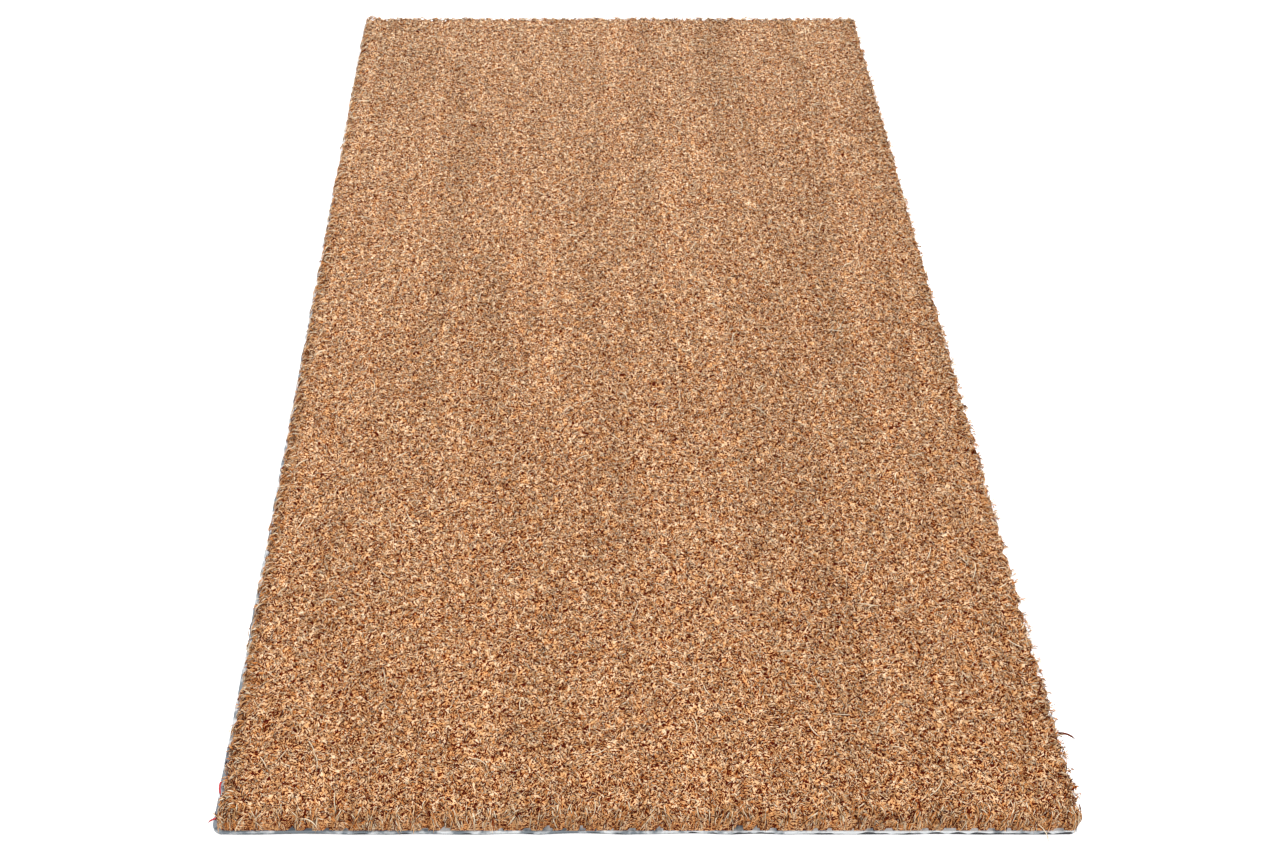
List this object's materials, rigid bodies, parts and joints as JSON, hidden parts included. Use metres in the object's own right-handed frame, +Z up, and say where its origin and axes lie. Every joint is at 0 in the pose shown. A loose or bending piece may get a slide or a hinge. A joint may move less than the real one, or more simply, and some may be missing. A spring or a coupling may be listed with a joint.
{
  "type": "door mat",
  "caption": "Plain rectangular coir door mat: rows of upright cut coir tufts set in a flexible vinyl backing sheet that lies flat on the floor.",
  "frame": {"origin": "centre of the mat's underside, on the floor", "axes": "+Z up out of the pile, +Y along the mat's length and its rows of tufts, +X across the rows"},
  "size_m": [0.45, 0.75, 0.015],
  "materials": {
    "pvc": "soft cast PVC, pale grey, matt, lightly marked by the belt it cured on",
    "coir": "natural undyed coconut fibre, dry and matt, cut pile"
  },
  "bodies": {
    "root": {"pvc_backing": "pvc", "tuft_row_01": "coir", "tuft_row_02": "coir", "tuft_row_03": "coir", "tuft_row_04": "coir", "tuft_row_05": "coir", "tuft_row_06": "coir", "tuft_row_07": "coir", "tuft_row_08": "coir", "tuft_row_09": "coir", "tuft_row_10": "coir", "tuft_row_11": "coir", "tuft_row_12": "coir", "tuft_row_13": "coir", "tuft_row_14": "coir", "tuft_row_15": "coir", "tuft_row_16": "coir", "tuft_row_17": "coir", "tuft_row_18": "coir", "tuft_row_19": "coir", "tuft_row_20": "coir", "tuft_row_21": "coir", "tuft_row_22": "coir", "tuft_row_23": "coir", "tuft_row_24": "coir", "tuft_row_25": "coir", "tuft_row_26": "coir", "tuft_row_27": "coir", "tuft_row_28": "coir", "tuft_row_29": "coir", "tuft_row_30": "coir", "tuft_row_31": "coir", "tuft_row_32": "coir", "tuft_row_33": "coir", "tuft_row_34": "coir", "tuft_row_35": "coir", "tuft_row_36": "coir", "tuft_row_37": "coir", "tuft_row_38": "coir", "tuft_row_39": "coir", "tuft_row_40": "coir", "tuft_row_41": "coir", "tuft_row_42": "coir", "tuft_row_43": "coir", "tuft_row_44": "coir", "tuft_row_45": "coir"}
  },
  "joints": []
}
